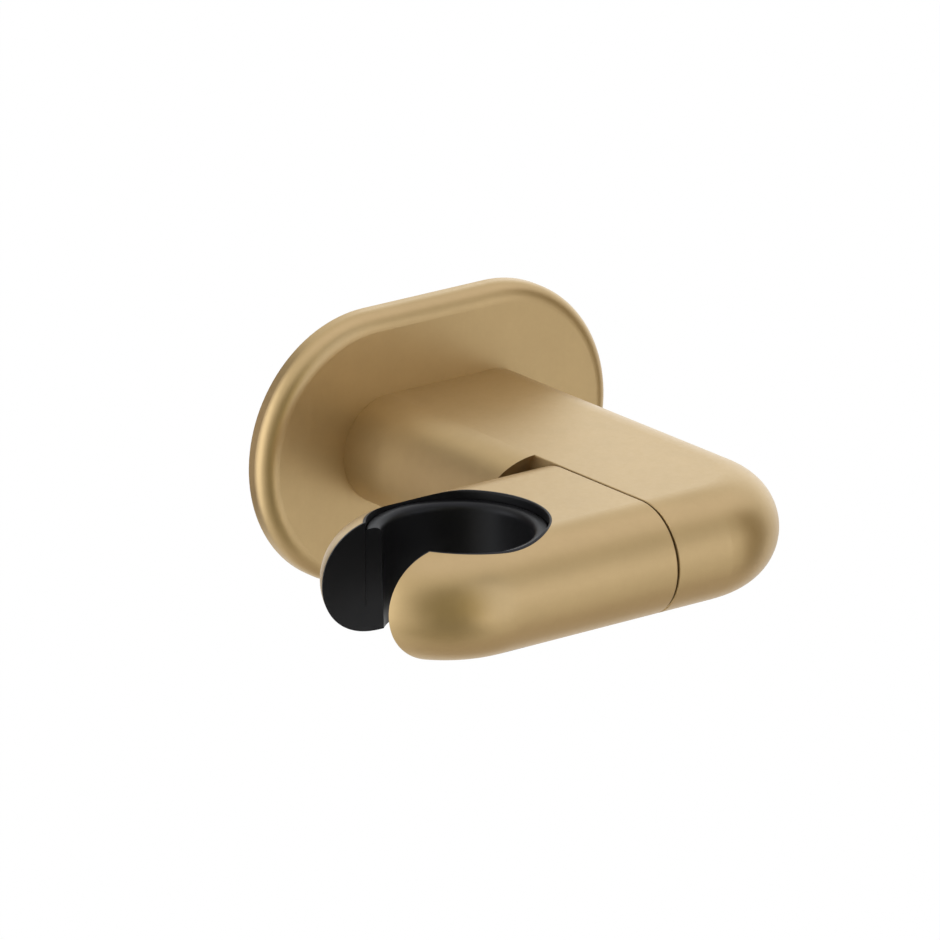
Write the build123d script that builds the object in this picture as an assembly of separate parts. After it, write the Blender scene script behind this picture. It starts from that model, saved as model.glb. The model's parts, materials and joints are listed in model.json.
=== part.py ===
"""Wall-mounted hand shower holder with a tilting cradle.

Frame: origin at the centre of the plate on the wall, +X right as one faces the wall,
+Y into the wall, +Z up. The holder stands out from the wall towards -Y. Millimetres.
"""
import os
from math import radians, tan

from build123d import *

# Pill-section bar that the arm and the cradle share
BAR_WIDTH = 38.0
BAR_THICKNESS = 18.0
PROJECTION = 78.3
SPLIT_OFFSET = 10.35
SPLIT_GAP = 0.35
SPLIT_EDGE = 0.2
POCKET_CLEARANCE = 0.5
CRADLE_TAIL = 21.4

# Wall plate
PLATE_WIDTH = 68.6
PLATE_HEIGHT = 44.8
PLATE_EDGE_WALL = 1.45
PLATE_EDGE_ROUND = 2.85
PLATE_SKIN = 1.4
PLATE_RIM_SEAT = 4.0

# Wall bracket and its screw
BRACKET_CLEARANCE = 0.3
FOOT_THICKNESS = 2.8
POST_WIDTH = 27.0
POST_THICKNESS = 9.0
POST_END_WALL = 6.0
POST_CLEARANCE = 0.15
WALL_SCREW_SPACING = 42.0
WALL_SCREW_HOLE = 4.8
WALL_SCREW_HEAD = 8.6
COUNTERSINK_ANGLE = 90.0
SET_SCREW_DIAMETER = 5.0
SET_SCREW_OUT = 14.0
SET_SCREW_RECESS = 0.6
SET_SCREW_KEY = 2.5
SET_SCREW_KEY_DEPTH = 2.0
SET_SCREW_POINT = 2.2
SET_SCREW_BITE = 0.8
THREAD_CLEARANCE = 0.03

# Socket for the hand shower
SEAT_RADIUS = 11.6
SEAT_TAPER = 1.1
SEAT_DEPTH = 1.4
SEAT_ROUND = 1.2
SLOT_WIDTH = 16.0
LINER_WALL = 2.3
LINER_EDGE = 0.35
LINER_FIT = 0.05
COVER_WALL = 0.4
COVER_FLOOR = 4.4
COVER_RIM_ROUND = 0.3
COVER_FIT = 0.03
CHEEK_SETBACK = 0.65

# Pivot
SHOULDER_DIAMETER = 8.0
PIVOT_FIT = 0.05
PIVOT_WEB = 3.2
BOLT_THREAD = 6.0
BOLT_THREAD_LENGTH = 10.0
BOLT_HEAD_DIAMETER = 12.0
BOLT_HEAD_HEIGHT = 4.4
BOLT_KEY = 5.0
BOLT_KEY_DEPTH = 2.6
HEAD_CLEARANCE = 0.5
HEAD_END_GAP = 1.25
BUSH_DIAMETER = 11.0
BUSH_BOTTOM = 2.0
WASHER_THICKNESS = 1.0
SPRING_SHEET = 0.6
SPRING_CONE = 0.35
SPRING_AIR = 0.02
DISC_DIAMETER = 14.0
DISC_THICKNESS = 2.0
DISC_FIT = 0.1
STOP_PIN_DIAMETER = 2.5
STOP_PIN_PROUD = 1.6
STOP_PIN_DEPTH = 6.0
STOP_GROOVE_AIR = 0.3
STOP_WEB = 1.35
TILT_LIMIT = 30.0

# Worked-out sizes of the bar, the plate and the post
bar_half = BAR_WIDTH / 2
bar_round = BAR_THICKNESS / 2
axis_out = PROJECTION - bar_half
pocket_radius = bar_half + POCKET_CLEARANCE
plate_field = PLATE_EDGE_WALL + PLATE_EDGE_ROUND
plate_hollow = plate_field - PLATE_SKIN
post_end = axis_out - pocket_radius - POST_END_WALL

# Worked-out sizes along the pivot axis, counted from the middle of the arm towards the cradle's end
cradle_face = SPLIT_OFFSET + SPLIT_GAP
disc_recess = DISC_THICKNESS - SPLIT_GAP
web_face = cradle_face + disc_recess + PIVOT_WEB
spring_face = web_face + WASHER_THICKNESS
spring_height = SPRING_SHEET + SPRING_CONE
head_face = spring_face + 2 * spring_height + 3 * SPRING_AIR
head_end = head_face + BOLT_HEAD_HEIGHT
counterbore = BOLT_HEAD_DIAMETER / 2 + HEAD_CLEARANCE
groove_half = STOP_PIN_DIAMETER / 2 + STOP_GROOVE_AIR
stop_radius = DISC_DIAMETER / 2 + DISC_FIT + STOP_WEB + groove_half

# Worked-out sizes of the socket
liner_outer = SEAT_RADIUS + LINER_WALL
cover_inner = liner_outer + LINER_FIT
cover_outer = cover_inner + COVER_WALL
cover_floor_top = COVER_FLOOR - bar_round
seat_top = bar_round - SEAT_DEPTH
cheek_out = SLOT_WIDTH / 2 + COVER_WALL
socket_offset = head_end + HEAD_END_GAP + cover_outer
cradle_reach = socket_offset + CRADLE_TAIL
long_cut = 2 * (cradle_reach + PLATE_WIDTH)


def facing_left(x):
    """Plane across the pivot axis at x, its own X out from the wall and its normal towards -X."""
    return Plane(origin=(x, -axis_out, 0), x_dir=(0, -1, 0), z_dir=(-1, 0, 0))


def rod(x_right, length, radius):
    """Cylinder along the pivot axis from x_right towards -X."""
    return extrude(facing_left(x_right) * Circle(radius), amount=length)


def tube(x_right, length, outer, inner):
    """Ring along the pivot axis from x_right towards -X."""
    return extrude(facing_left(x_right) * (Circle(outer) - Circle(inner)), amount=length)


def pill(width, height, y_out, length):
    """Pill-section prism that stands out from the wall, from y_out on."""
    return extrude(Plane.XZ.offset(y_out) * SlotOverall(width, height), amount=length)


def hexagon(across_flats):
    """Hexagon of a screw's key."""
    return RegularPolygon(across_flats / 2, 6, major_radius=False)


def bullnose(reach):
    """Half section of the bar: flat top and bottom from 0, closed by a full round at reach."""
    flat = reach - bar_round
    outline = [
        Line((0, -bar_round), (flat, -bar_round)),
        ThreePointArc((flat, -bar_round), (reach, 0), (flat, bar_round)),
        Line((flat, bar_round), (0, bar_round)),
        Line((0, bar_round), (0, -bar_round)),
    ]
    return make_face(outline)


def corner(x, y, start, reach):
    """Quarter turn of the bar's half section about a vertical axis, clockwise from start."""
    centre = Vector(x, y, 0)
    section = Plane(origin=centre, x_dir=start, z_dir=Vector(start).cross(Vector(0, 0, 1)))
    return revolve(section * bullnose(reach), axis=Axis(centre, (0, 0, -1)), revolution_arc=90)


def break_split_edges(bar, x):
    """Round the long edges and the front of the bar's face at x."""
    face = bar.faces().filter_by(Plane.YZ).sort_by(lambda f: abs(f.center().X - x))[0]
    return fillet(face.outer_wire().edges().filter_by(Axis.Z, reverse=True), SPLIT_EDGE)


def socket_turn(profile):
    """Revolve an (r, z) profile about the socket's upright axis."""
    centre = Vector(-socket_offset, -axis_out, 0)
    section = Plane(origin=centre, x_dir=(1, 0, 0), z_dir=(0, -1, 0))
    return revolve(section * profile, axis=Axis(centre, (0, 0, 1)))


def slot_space(width):
    """Upright slot of the given width, from the socket's axis out past the cradle's end."""
    size = Box(cradle_reach, width, long_cut, align=(Align.MAX, Align.CENTER, Align.CENTER))
    return Pos(-socket_offset, -axis_out, 0) * size


def socket_space(radius, slot_width):
    """Upright bore on the socket's axis together with its slot."""
    return Pos(-socket_offset, -axis_out, 0) * Cylinder(radius, long_cut) + slot_space(slot_width)


def plate_half_section():
    """Half section of the plate: r from the middle of the height, h out from the wall."""
    r = PLATE_HEIGHT / 2
    field_r = r - PLATE_EDGE_ROUND
    outline = [
        Line((0, 0), (r, 0)),
        Line((r, 0), (r, PLATE_EDGE_WALL)),
        RadiusArc((r, PLATE_EDGE_WALL), (field_r, plate_field), -PLATE_EDGE_ROUND),
        Line((field_r, plate_field), (0, plate_field)),
        Line((0, plate_field), (0, 0)),
    ]
    return make_face(outline)


def make_wall_plate():
    """Pill-shaped cover: two half turns of the section joined by its straight run."""
    straight = PLATE_WIDTH - PLATE_HEIGHT
    half = plate_half_section()
    end_x = straight / 2
    right = Plane(origin=(end_x, 0, 0), x_dir=(0, 0, 1), z_dir=(1, 0, 0))
    left = Plane(origin=(-end_x, 0, 0), x_dir=(0, 0, 1), z_dir=(1, 0, 0))
    upper = extrude(left * half, amount=straight)
    plate = upper + mirror(upper, about=Plane.XY)
    plate += revolve(right * half, axis=Axis((end_x, 0, 0), (0, 1, 0)), revolution_arc=180)
    plate += revolve(left * half, axis=Axis((-end_x, 0, 0), (0, -1, 0)), revolution_arc=180)
    hollow_width = PLATE_WIDTH - 2 * PLATE_RIM_SEAT
    hollow_height = PLATE_HEIGHT - 2 * PLATE_RIM_SEAT
    plate -= pill(hollow_width, hollow_height, 0, plate_hollow)
    opening = 2 * POST_CLEARANCE
    plate -= pill(POST_WIDTH + opening, POST_THICKNESS + opening, 0, plate_field)
    return plate


def make_wall_bracket():
    """Screwed foot inside the plate with the post that carries the arm."""
    margin = 2 * (PLATE_RIM_SEAT + BRACKET_CLEARANCE)
    foot = pill(PLATE_WIDTH - margin, PLATE_HEIGHT - margin, 0, FOOT_THICKNESS)
    bracket = foot + pill(POST_WIDTH, POST_THICKNESS, FOOT_THICKNESS, post_end - FOOT_THICKNESS)
    slope = COUNTERSINK_ANGLE / 2
    sink = (WALL_SCREW_HEAD - WALL_SCREW_HOLE) / 2 / tan(radians(slope))
    for side in (-1, 1):
        mouth = Plane.XZ.offset(FOOT_THICKNESS) * Pos(side * WALL_SCREW_SPACING / 2, 0)
        through = Plane.XZ * Pos(side * WALL_SCREW_SPACING / 2, 0)
        bracket -= extrude(through * Circle(WALL_SCREW_HOLE / 2), amount=FOOT_THICKNESS)
        bracket -= extrude(mouth * Circle(WALL_SCREW_HEAD / 2), amount=-sink, taper=slope)
    return bracket - set_screw_point(THREAD_CLEARANCE)


def set_screw_tip():
    """Height of the set screw's point, bitten into the post's underside."""
    return -POST_THICKNESS / 2 + SET_SCREW_BITE


def set_screw_point(extra):
    """Cone of the set screw, larger all round by extra for its seat in the post."""
    tip = Vector(0, -SET_SCREW_OUT, set_screw_tip() + extra)
    base = SET_SCREW_DIAMETER / 2
    height = base - SET_SCREW_POINT / 2
    outline = [
        Line((0, 0), (SET_SCREW_POINT / 2 + extra, 0)),
        Line((SET_SCREW_POINT / 2 + extra, 0), (base + extra, -height)),
        Line((base + extra, -height), (0, -height)),
        Line((0, -height), (0, 0)),
    ]
    section = Plane(origin=tip, x_dir=(1, 0, 0), z_dir=(0, -1, 0))
    return revolve(section * make_face(outline), axis=Axis(tip, (0, 0, 1)))


def make_set_screw():
    """Grub screw with a cone point, turned from below by a hexagon key."""
    foot = -bar_round + SET_SCREW_RECESS
    shoulder = set_screw_tip() - (SET_SCREW_DIAMETER - SET_SCREW_POINT) / 2
    ground = Plane(origin=(0, -SET_SCREW_OUT, foot))
    screw = extrude(ground * Circle(SET_SCREW_DIAMETER / 2), amount=shoulder - foot)
    screw += set_screw_point(0)
    return screw - extrude(ground * hexagon(SET_SCREW_KEY), amount=SET_SCREW_KEY_DEPTH)


def make_arm():
    """Bar out of the plate, turned 90 degrees, with the pocket that the cradle tilts in."""
    length = axis_out - plate_field
    root = Plane.XZ.offset(plate_field)
    right_side = root * bullnose(bar_half)
    middle = root * Pos(-SPLIT_OFFSET / 2, 0) * Rectangle(SPLIT_OFFSET, BAR_THICKNESS)
    head = extrude(right_side, amount=length) + extrude(middle, amount=length)
    head += corner(0, -axis_out, (1, 0, 0), bar_half)
    head += extrude(facing_left(0) * bullnose(bar_half), amount=SPLIT_OFFSET)
    flank_start = SPLIT_EDGE - SPLIT_OFFSET
    right_of_flank = Box(long_cut, long_cut, long_cut, align=(Align.MIN, Align.CENTER, Align.CENTER))
    flank = pill(BAR_WIDTH, BAR_THICKNESS, plate_field, length) - Pos(flank_start, 0, 0) * right_of_flank
    flank -= rod(flank_start, bar_half, pocket_radius)
    arm = break_split_edges(head, -SPLIT_OFFSET) + flank
    hollow = 2 * POST_CLEARANCE
    depth = post_end + POST_CLEARANCE - plate_field
    arm -= pill(POST_WIDTH + hollow, POST_THICKNESS + hollow, plate_field, depth)
    screw_hole = Plane(origin=(0, -SET_SCREW_OUT, 0))
    hole_radius = SET_SCREW_DIAMETER / 2 + THREAD_CLEARANCE
    arm -= extrude(screw_hole * Circle(hole_radius), amount=-bar_round)
    bush_end = -SPLIT_OFFSET + BOLT_THREAD_LENGTH + BUSH_BOTTOM
    arm -= rod(bush_end, bush_end + SPLIT_OFFSET, BUSH_DIAMETER / 2)
    pin_end = -SPLIT_OFFSET + STOP_PIN_DEPTH
    return arm - stop_pin_rod(pin_end, STOP_PIN_DEPTH)


def stop_pin_rod(x_right, length):
    """Cylinder of the stop pin, out from the wall beside the pivot axis."""
    place = facing_left(x_right) * Pos(stop_radius, 0)
    return extrude(place * Circle(STOP_PIN_DIAMETER / 2), amount=length)


def make_pivot_bush():
    """Bush pressed into the arm flush with the split, with the bolt's thread and a closed bottom."""
    end = -SPLIT_OFFSET + BOLT_THREAD_LENGTH
    bush = rod(end + BUSH_BOTTOM, BOLT_THREAD_LENGTH + BUSH_BOTTOM, BUSH_DIAMETER / 2)
    return bush - rod(end, BOLT_THREAD_LENGTH, BOLT_THREAD / 2 + THREAD_CLEARANCE)


def make_pivot_bolt():
    """Shoulder bolt: thread in the bush, shoulder in the cradle, head in the counterbore."""
    thread_end = -SPLIT_OFFSET + BOLT_THREAD_LENGTH
    bolt = rod(thread_end, BOLT_THREAD_LENGTH, BOLT_THREAD / 2)
    bolt += rod(-SPLIT_OFFSET, head_face - SPLIT_OFFSET, SHOULDER_DIAMETER / 2)
    bolt += rod(-head_face, BOLT_HEAD_HEIGHT, BOLT_HEAD_DIAMETER / 2)
    return bolt - extrude(facing_left(-head_end) * hexagon(BOLT_KEY), amount=-BOLT_KEY_DEPTH)


def make_thrust_washer():
    """Flat washer on the bottom of the cradle's counterbore."""
    inner = SHOULDER_DIAMETER / 2 + PIVOT_FIT
    return tube(-web_face, WASHER_THICKNESS, BOLT_HEAD_DIAMETER / 2, inner)


def make_disc_springs():
    """Two coned spring discs, rim to rim, between the washer and the bolt's head."""
    inner = SHOULDER_DIAMETER / 2 + PIVOT_FIT
    outer = BOLT_HEAD_DIAMETER / 2
    outline = Polyline(
        (inner, 0),
        (outer, SPRING_CONE),
        (outer, spring_height),
        (inner, SPRING_SHEET),
        close=True,
    )
    first_face = spring_face + SPRING_AIR
    section = Plane(origin=(-first_face, -axis_out, 0), x_dir=(0, 0, 1), z_dir=(0, -1, 0))
    pivot = Axis((0, -axis_out, 0), (1, 0, 0))
    first = revolve(section * make_face(outline), axis=pivot)
    middle = first_face + spring_height + SPRING_AIR / 2
    second = mirror(first, about=Plane.YZ.offset(-middle))
    return Compound(children=[first.solid(), second.solid()])


def make_stop_pin():
    """Dowel pressed into the arm, standing proud into the cradle's groove."""
    return stop_pin_rod(-SPLIT_OFFSET + STOP_PIN_DEPTH, STOP_PIN_DEPTH + STOP_PIN_PROUD)


def make_friction_disc():
    """Plastic disc seated in the cradle that bears on the arm's split face."""
    inner = SHOULDER_DIAMETER / 2 + DISC_FIT
    return tube(-SPLIT_OFFSET, DISC_THICKNESS, DISC_DIAMETER / 2, inner)


def cradle_blank():
    """Outer form of the cradle before its cuts: the bar with a fully rounded end."""
    end_x = bar_half - cradle_reach
    pill_face = facing_left(-cradle_face) * SlotOverall(BAR_WIDTH, BAR_THICKNESS)
    blank = extrude(pill_face, amount=-end_x - cradle_face)
    blank += corner(end_x, -axis_out, (0, -1, 0), bar_half)
    blank += corner(end_x, -axis_out, (-1, 0, 0), bar_half)
    return break_split_edges(blank, -cradle_face)


def stop_groove():
    """Arc-shaped groove that the stop pin travels in while the cradle tilts."""
    path = CenterArc((0, 0), stop_radius, -TILT_LIMIT, 2 * TILT_LIMIT)
    face = facing_left(-cradle_face) * SlotArc(path, 2 * groove_half)
    return extrude(face, amount=STOP_PIN_PROUD - SPLIT_GAP + STOP_GROOVE_AIR)


def make_cradle_shell(blank):
    """Brass cradle with the socket's bore and slot and the pivot's bores."""
    shell = blank - socket_space(cover_outer + COVER_FIT, 2 * (cheek_out + COVER_FIT))
    shell -= rod(-cradle_face, disc_recess, DISC_DIAMETER / 2 + DISC_FIT)
    shell -= rod(-cradle_face, socket_offset - cradle_face, SHOULDER_DIAMETER / 2 + PIVOT_FIT)
    shell -= rod(-web_face, socket_offset - web_face, counterbore)
    return shell - stop_groove()


def taper_radius(z):
    """Radius of the tapered seat at height z, widest under its rounded lip."""
    return SEAT_RADIUS - (seat_top - SEAT_ROUND - z) * tan(radians(SEAT_TAPER))


def make_socket_cover(blank):
    """Black sleeve with a floor under the liner and cheeks on the slot's faces, the front one shorter."""
    cover = blank & socket_space(cover_outer, 2 * cheek_out)
    front_half = Box(long_cut, long_cut, long_cut, align=(Align.CENTER, Align.MAX, Align.CENTER))
    cover -= Pos(0, -axis_out, 0) * front_half - Pos(CHEEK_SETBACK, 0, 0) * blank
    rim_start = bar_round - COVER_RIM_ROUND
    flare = cover_inner + COVER_RIM_ROUND
    inside = [
        Line((0, cover_floor_top), (cover_inner, cover_floor_top)),
        Line((cover_inner, cover_floor_top), (cover_inner, rim_start)),
        RadiusArc((cover_inner, rim_start), (flare, bar_round), COVER_RIM_ROUND),
        Line((flare, bar_round), (0, bar_round)),
        Line((0, bar_round), (0, cover_floor_top)),
    ]
    cover -= socket_turn(make_face(inside))
    floor_hole = Polyline(
        (0, -bar_round),
        (taper_radius(-bar_round), -bar_round),
        (taper_radius(cover_floor_top), cover_floor_top),
        (0, cover_floor_top),
        close=True,
    )
    cover -= socket_turn(make_face(floor_hole))
    return cover - slot_space(SLOT_WIDTH)


def make_socket_liner():
    """C-shaped ring with a rounded top and the tapered seat."""
    foot = (taper_radius(cover_floor_top), cover_floor_top)
    edge_start = (liner_outer, seat_top - LINER_EDGE)
    edge_end = (liner_outer - LINER_EDGE, seat_top)
    round_top = (SEAT_RADIUS + SEAT_ROUND, seat_top)
    round_end = (SEAT_RADIUS, seat_top - SEAT_ROUND)
    outline = [
        Line(foot, (liner_outer, cover_floor_top)),
        Line((liner_outer, cover_floor_top), edge_start),
        RadiusArc(edge_start, edge_end, -LINER_EDGE),
        Line(edge_end, round_top),
        RadiusArc(round_top, round_end, -SEAT_ROUND),
        Line(round_end, foot),
    ]
    return socket_turn(make_face(outline)) - slot_space(SLOT_WIDTH)


def main():
    blank = cradle_blank()
    pieces = {
        "wall_plate": make_wall_plate(),
        "wall_bracket": make_wall_bracket(),
        "arm": make_arm(),
        "arm_set_screw": make_set_screw(),
        "pivot_bush": make_pivot_bush(),
        "pivot_bolt": make_pivot_bolt(),
        "disc_springs": make_disc_springs(),
        "thrust_washer": make_thrust_washer(),
        "stop_pin": make_stop_pin(),
        "friction_disc": make_friction_disc(),
        "cradle_shell": make_cradle_shell(blank),
        "socket_cover": make_socket_cover(blank),
        "socket_liner": make_socket_liner(),
    }
    os.makedirs("parts", exist_ok=True)
    for name, piece in pieces.items():
        export_step(piece, f"parts/{name}.step")


main()
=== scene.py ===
"""Looks of the wall-mounted hand shower holder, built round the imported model.

Metres, in the model's own frame: +X right as one faces the wall, +Y into the wall, +Z up.
"""
import json
from math import cos, radians, sin

import bpy
from mathutils import Matrix, Vector

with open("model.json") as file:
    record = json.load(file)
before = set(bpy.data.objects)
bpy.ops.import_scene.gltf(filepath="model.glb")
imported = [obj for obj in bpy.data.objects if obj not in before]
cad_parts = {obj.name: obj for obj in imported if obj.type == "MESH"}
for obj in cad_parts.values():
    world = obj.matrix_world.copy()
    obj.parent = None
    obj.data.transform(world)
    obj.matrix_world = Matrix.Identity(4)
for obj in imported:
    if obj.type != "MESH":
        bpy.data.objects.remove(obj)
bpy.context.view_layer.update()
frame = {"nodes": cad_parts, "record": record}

# Camera, from a fit of the model's outline to the photo
VIEW_TURN = 37.41
VIEW_RISE = 18.707
VIEW_DISTANCE = 1.6931
VIEW_LENS = 416.14
VIEW_SENSOR = 36.0
VIEW_END = 100.0
VIEW_AIM = Vector((0.0, -0.035, 0.0))
VIEW_SHIFT_RIGHT = -0.0139
VIEW_SHIFT_UP = 0.00239

# Floor, about where a shower's floor lies below such a holder
FLOOR_DROP = 2.0
FLOOR_RADIUS = 12.0
FLOOR_SIDES = 128
FLOOR_COLOUR = (1.0, 1.0, 1.0)
FLOOR_ROUGH = 0.9

# Light: an even white world, with soft-edged elliptic cards round the object's middle
WORLD_COLOUR = (1.0, 1.0, 1.0)
WORLD_LEVEL = 1.0
OBJECT_MIDDLE = Vector((-0.013, -0.045, 0.0))
FLAG_DISTANCE = 1.0
BOX_DISTANCE = 1.1
CARD_SIDES = 48
# Share of a card's radius within which it has its full strength
CARD_CORE = 0.38
# What a card does at its rim: a flag lets all the light through, a box adds none
FLAG_RIM = (1.0, 1.0, 1.0)
BOX_RIM = (0.0, 0.0, 0.0)
# Dark flags: turn from the wall's inward normal towards +X, rise, half width and half height at
# unit distance, and the tint of the light that the middle lets through
FLAGS = {
    "flag_camera": (-149.0, 5.0, 1.04, 1.36, (0.25, 0.22, 0.10)),
    "flag_low": (-142.5, -47.0, 0.88, 0.55, (0.36, 0.33, 0.22)),
    "flag_front": (165.0, 13.0, 0.54, 1.48, (0.41, 0.43, 0.47)),
    "flag_right": (114.0, 1.0, 0.42, 1.20, (0.21, 0.14, 0.02)),
    "flag_under": (105.5, -68.0, 0.72, 1.47, (0.59, 0.53, 0.48)),
    "flag_left": (-25.0, 0.0, 0.88, 1.37, (0.06, 0.03, 0.02)),
}
# Soft boxes: the same four numbers, and the light that the middle adds
BOXES = {
    "box_back": (37.5, 6.0, 1.26, 0.60, (0.56, 0.62, 0.69)),
    "box_left": (-58.5, 0.0, 1.01, 1.27, (1.34, 1.42, 1.62)),
    "box_front": (172.0, 6.5, 0.69, 1.02, (2.04, 2.04, 2.19)),
    "box_high": (93.0, 73.0, 0.61, 1.55, (0.20, 0.21, 0.36)),
    "box_side": (145.0, 6.0, 0.38, 0.32, (0.26, 0.26, 0.32)),
}

# Finishes: waves are per metre, rough gives the least and the most roughness, and a bump has a
# strength and a height
NOISE_DARK = 0.3
NOISE_LIGHT = 0.7
EVEN = (1, 1, 1)

BRASS_LIGHT = (0.512, 0.367, 0.181)
BRASS_DARK = (0.470, 0.337, 0.165)
BRASS_ROUGH = (0.335, 0.378)
BRASS_METALLIC = 0.82
BRASS_GLOSS = 0.0
BRASS_TONE_WAVES = 60.0
BRASS_STREAK_WAVES = 1400.0
BRASS_STREAK_STRETCH = (1, 1, 0.04)
BRASS_GRAIN_WAVES = 4200.0
BRASS_BUMP = (0.15, 0.00004)

BLACK_LIGHT = (0.006, 0.006, 0.0065)
BLACK_DARK = (0.0045, 0.0045, 0.005)
BLACK_ROUGH = (0.36, 0.44)
BLACK_GLOSS = 0.22
BLACK_CLOUD_WAVES = 90.0
BLACK_GRAIN_WAVES = 3200.0
BLACK_BUMP = (0.10, 0.00004)

DISC_LIGHT = (0.78, 0.77, 0.73)
DISC_DARK = (0.72, 0.71, 0.67)
DISC_ROUGH = (0.40, 0.50)
DISC_CLOUD_WAVES = 200.0
DISC_GRAIN_WAVES = 2600.0
DISC_BUMP = (0.06, 0.00003)

METAL_CLOUD_WAVES = 140.0
METAL_BUMP = (0.10, 0.00004)
# Hidden metals: dark and light colour, rough, and waves of the grain
METALS = {
    "bush_brass": ((0.56, 0.40, 0.16), (0.64, 0.46, 0.20), (0.26, 0.36), 2400.0),
    "bracket_steel": ((0.40, 0.40, 0.41), (0.50, 0.50, 0.51), (0.36, 0.50), 900.0),
    "screw_steel": ((0.46, 0.46, 0.47), (0.54, 0.54, 0.55), (0.24, 0.34), 2800.0),
    "spring_steel": ((0.26, 0.26, 0.28), (0.34, 0.34, 0.36), (0.30, 0.42), 2000.0),
}


def direction(turn, rise):
    """Unit vector at a turn from the wall's inward normal towards +X and a rise above level."""
    t = radians(turn)
    r = radians(rise)
    return Vector((sin(t) * cos(r), cos(t) * cos(r), sin(r)))


def add_camera():
    """Camera at the photo's angle."""
    turn = radians(VIEW_TURN)
    rise = radians(VIEW_RISE)
    right = Vector((cos(turn), -sin(turn), 0))
    up = Vector((sin(turn) * sin(rise), cos(turn) * sin(rise), cos(rise)))
    back = right.cross(up)
    data = bpy.data.cameras.new("camera")
    data.sensor_width = VIEW_SENSOR
    data.lens = VIEW_LENS
    data.clip_end = VIEW_END
    camera = bpy.data.objects.new("camera", data)
    place = VIEW_AIM + right * VIEW_SHIFT_RIGHT + up * VIEW_SHIFT_UP + back * VIEW_DISTANCE
    turned = Matrix((right, up, back)).transposed().to_4x4()
    camera.matrix_world = Matrix.Translation(place) @ turned
    bpy.context.scene.collection.objects.link(camera)
    bpy.context.scene.camera = camera


class Nodes:
    """Short way to write a material's node tree."""

    def __init__(self, name):
        self.material = bpy.data.materials.new(name)
        self.material.use_nodes = True
        self.tree = self.material.node_tree
        self.shader = self.tree.nodes["Principled BSDF"]
        self.output = self.tree.nodes["Material Output"]

    def add(self, kind, **values):
        """New node; a value is a socket's default, or another socket to link."""
        node = self.tree.nodes.new(kind)
        for key, value in values.items():
            self.put(node, key, value)
        return node

    def put(self, node, key, value):
        """Set or link one input of a node; spaces in its name are written as underscores."""
        socket = node.inputs[key.replace("_", " ")]
        if isinstance(value, bpy.types.NodeSocket):
            self.tree.links.new(value, socket)
        else:
            socket.default_value = value

    def surface(self, **values):
        """Inputs of the material's main shader."""
        for key, value in values.items():
            self.put(self.shader, key, value)

    def place(self, scale=EVEN):
        """The object's own coordinates, stretched by scale."""
        coordinates = self.tree.nodes.new("ShaderNodeTexCoord").outputs["Object"]
        return self.add("ShaderNodeMapping", Vector=coordinates, Scale=scale).outputs["Vector"]

    def noise(self, waves, detail=2.0, stretch=EVEN, fine=0.5):
        """Noise value between 0 and 1; fine is the strength of each finer octave."""
        texture = self.add(
            "ShaderNodeTexNoise",
            Vector=self.place(stretch),
            Scale=waves,
            Detail=detail,
            Roughness=fine,
        )
        return texture.outputs["Fac"]

    def between(self, factor, low, high):
        """Number that goes from low to high as the noise goes from dark to light."""
        node = self.add(
            "ShaderNodeMapRange",
            Value=factor,
            From_Min=NOISE_DARK,
            From_Max=NOISE_LIGHT,
            To_Min=low,
            To_Max=high,
        )
        return node.outputs["Result"]

    def ramp(self, factor, first, last):
        """Colour ramp node from the first colour to the last."""
        node = self.add("ShaderNodeValToRGB", Fac=factor)
        node.color_ramp.elements[0].color = (*first, 1)
        node.color_ramp.elements[1].color = (*last, 1)
        return node

    def colours(self, factor, dark, light):
        """Colour that goes from dark to light with the noise."""
        node = self.ramp(factor, dark, light)
        node.color_ramp.elements[0].position = NOISE_DARK
        node.color_ramp.elements[1].position = NOISE_LIGHT
        return node.outputs["Color"]

    def bump(self, noise, strength, height):
        """Normal that the noise roughens by a height in metres."""
        node = self.add("ShaderNodeBump", Strength=strength, Distance=height, Height=noise)
        return node.outputs["Normal"]


def brushed_brass():
    """Satin brass: mottled tone, faint upright brush streaks and a fine bump."""
    n = Nodes("brushed_brass")
    tone = n.noise(BRASS_TONE_WAVES, detail=6.0, fine=0.8)
    streaks = n.noise(BRASS_STREAK_WAVES, stretch=BRASS_STREAK_STRETCH)
    grain = n.noise(BRASS_GRAIN_WAVES, detail=3.0)
    n.surface(
        Base_Color=n.colours(tone, BRASS_DARK, BRASS_LIGHT),
        Metallic=BRASS_METALLIC,
        Specular_IOR_Level=BRASS_GLOSS,
        Roughness=n.between(streaks, *BRASS_ROUGH),
        Normal=n.bump(grain, *BRASS_BUMP),
    )
    return n.material


def black_plastic():
    """Satin moulded plastic of the socket."""
    n = Nodes("black_plastic")
    grain = n.noise(BLACK_GRAIN_WAVES)
    cloud = n.noise(BLACK_CLOUD_WAVES)
    n.surface(
        Base_Color=n.colours(cloud, BLACK_DARK, BLACK_LIGHT),
        Roughness=n.between(cloud, *BLACK_ROUGH),
        Specular_IOR_Level=BLACK_GLOSS,
        Normal=n.bump(grain, *BLACK_BUMP),
    )
    return n.material


def disc_plastic():
    """Natural plastic of the friction disc."""
    n = Nodes("disc_plastic")
    grain = n.noise(DISC_GRAIN_WAVES)
    cloud = n.noise(DISC_CLOUD_WAVES)
    n.surface(
        Base_Color=n.colours(cloud, DISC_DARK, DISC_LIGHT),
        Roughness=n.between(grain, *DISC_ROUGH),
        Normal=n.bump(grain, *DISC_BUMP),
    )
    return n.material


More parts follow.
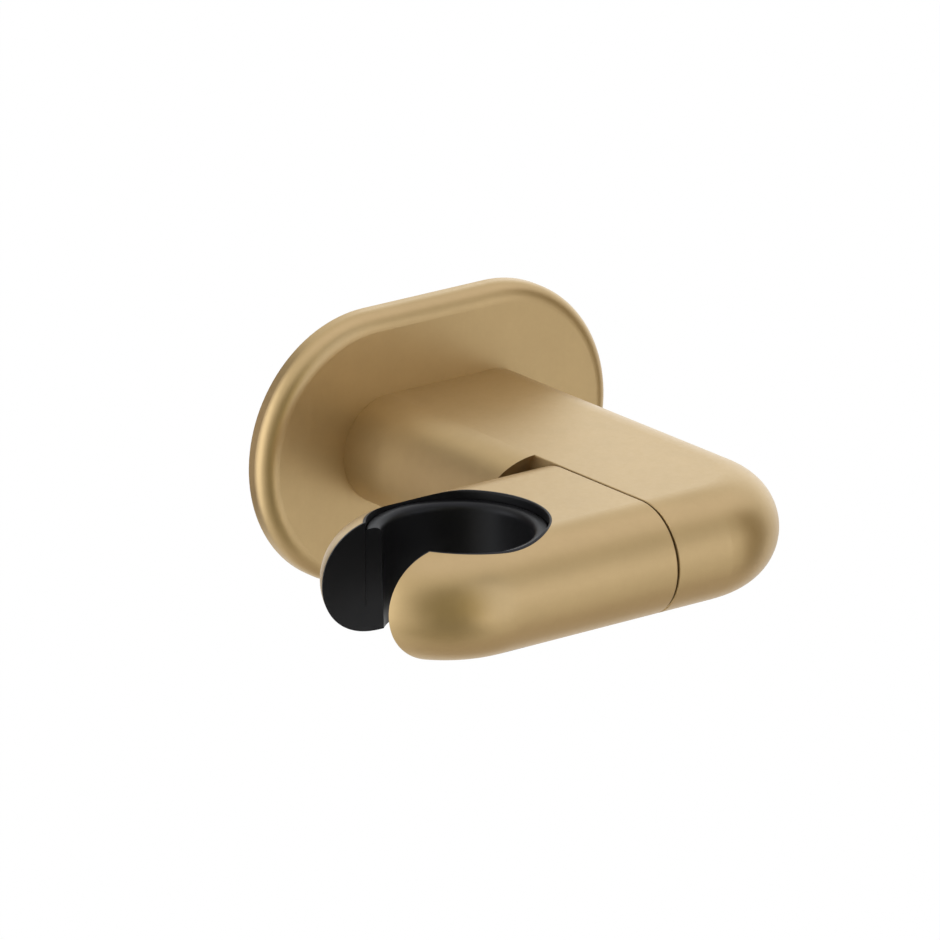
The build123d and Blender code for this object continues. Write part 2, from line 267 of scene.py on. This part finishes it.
def plain_metal(name, dark, light, rough, waves):
    """Cloudy, finely grained metal of a hidden piece."""
    n = Nodes(name)
    grain = n.noise(waves, detail=3.0)
    cloud = n.noise(METAL_CLOUD_WAVES)
    n.surface(
        Base_Color=n.colours(cloud, dark, light),
        Metallic=1.0,
        Roughness=n.between(grain, *rough),
        Normal=n.bump(grain, *METAL_BUMP),
    )
    return n.material


def dress_nodes():
    """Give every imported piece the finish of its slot."""
    finishes = {
        "brushed_brass": brushed_brass(),
        "black_plastic": black_plastic(),
        "disc_plastic": disc_plastic(),
    }
    for name, values in METALS.items():
        finishes[name] = plain_metal(name, *values)
    for part in frame["record"]["subparts"]:
        node = frame["nodes"][part["node"]]
        node.data.materials.clear()
        node.data.materials.append(finishes[part["material_slot"]])


def add_disc(name, sides, radius):
    """Flat round mesh object at the origin."""
    bpy.ops.mesh.primitive_circle_add(vertices=sides, radius=radius, fill_type="NGON")
    disc = bpy.context.object
    disc.name = name
    return disc


def add_floor():
    """Large pale disc well below the part."""
    floor = add_disc("floor", FLOOR_SIDES, FLOOR_RADIUS)
    floor.location = (0, 0, -FLOOR_DROP)
    n = Nodes("floor")
    n.surface(Base_Color=(*FLOOR_COLOUR, 1), Roughness=FLOOR_ROUGH, Specular_IOR_Level=0.0)
    floor.data.materials.append(n.material)


def soft_card(name, turn, rise, half_width, half_height, distance, middle, rim):
    """Elliptic card that faces the object and that only its finish reflects.

    Returns the card's nodes and a colour that goes softly from the middle's to the rim's.
    """
    toward = direction(turn, rise)
    card = add_disc(name, CARD_SIDES, 1)
    card.scale = (half_width * distance, half_height * distance, 1)
    card.location = OBJECT_MIDDLE + toward * distance
    card.rotation_mode = "QUATERNION"
    card.rotation_quaternion = toward.to_track_quat("Z", "Y")
    card.visible_camera = False
    card.visible_shadow = False
    card.visible_diffuse = False
    n = Nodes(name)
    n.material.cycles.emission_sampling = "NONE"
    card.data.materials.append(n.material)
    reach = n.add("ShaderNodeVectorMath", Vector=n.place())
    reach.operation = "LENGTH"
    edge = n.add("ShaderNodeMapRange", Value=reach.outputs["Value"], From_Min=CARD_CORE, From_Max=1.0)
    edge.interpolation_type = "SMOOTHSTEP"
    return n, n.ramp(edge.outputs["Result"], middle, rim).outputs["Color"]


def add_flag(name, turn, rise, half_width, half_height, tint):
    """Soft-edged dark filter."""
    n, colour = soft_card(name, turn, rise, half_width, half_height, FLAG_DISTANCE, tint, FLAG_RIM)
    veil = n.add("ShaderNodeBsdfTransparent", Color=colour)
    n.put(n.output, "Surface", veil.outputs["BSDF"])


def add_box(name, turn, rise, half_width, half_height, glow):
    """Soft-edged glow in front of the white world."""
    n, colour = soft_card(name, turn, rise, half_width, half_height, BOX_DISTANCE, glow, BOX_RIM)
    light = n.add("ShaderNodeEmission", Color=colour)
    clear = n.add("ShaderNodeBsdfTransparent")
    both = n.add("ShaderNodeAddShader")
    n.tree.links.new(light.outputs["Emission"], both.inputs[0])
    n.tree.links.new(clear.outputs["BSDF"], both.inputs[1])
    n.put(n.output, "Surface", both.outputs["Shader"])


def add_light():
    """Even white world, with soft boxes and flags round the object."""
    world = bpy.data.worlds.new("world")
    bpy.context.scene.world = world
    world.use_nodes = True
    background = world.node_tree.nodes["Background"]
    background.inputs["Color"].default_value = (*WORLD_COLOUR, 1)
    background.inputs["Strength"].default_value = WORLD_LEVEL
    world.cycles.sampling_method = "NONE"
    for name, values in FLAGS.items():
        add_flag(name, *values)
    for name, values in BOXES.items():
        add_box(name, *values)


bpy.context.scene.view_settings.view_transform = "Standard"
add_camera()
dress_nodes()
add_floor()
add_light()
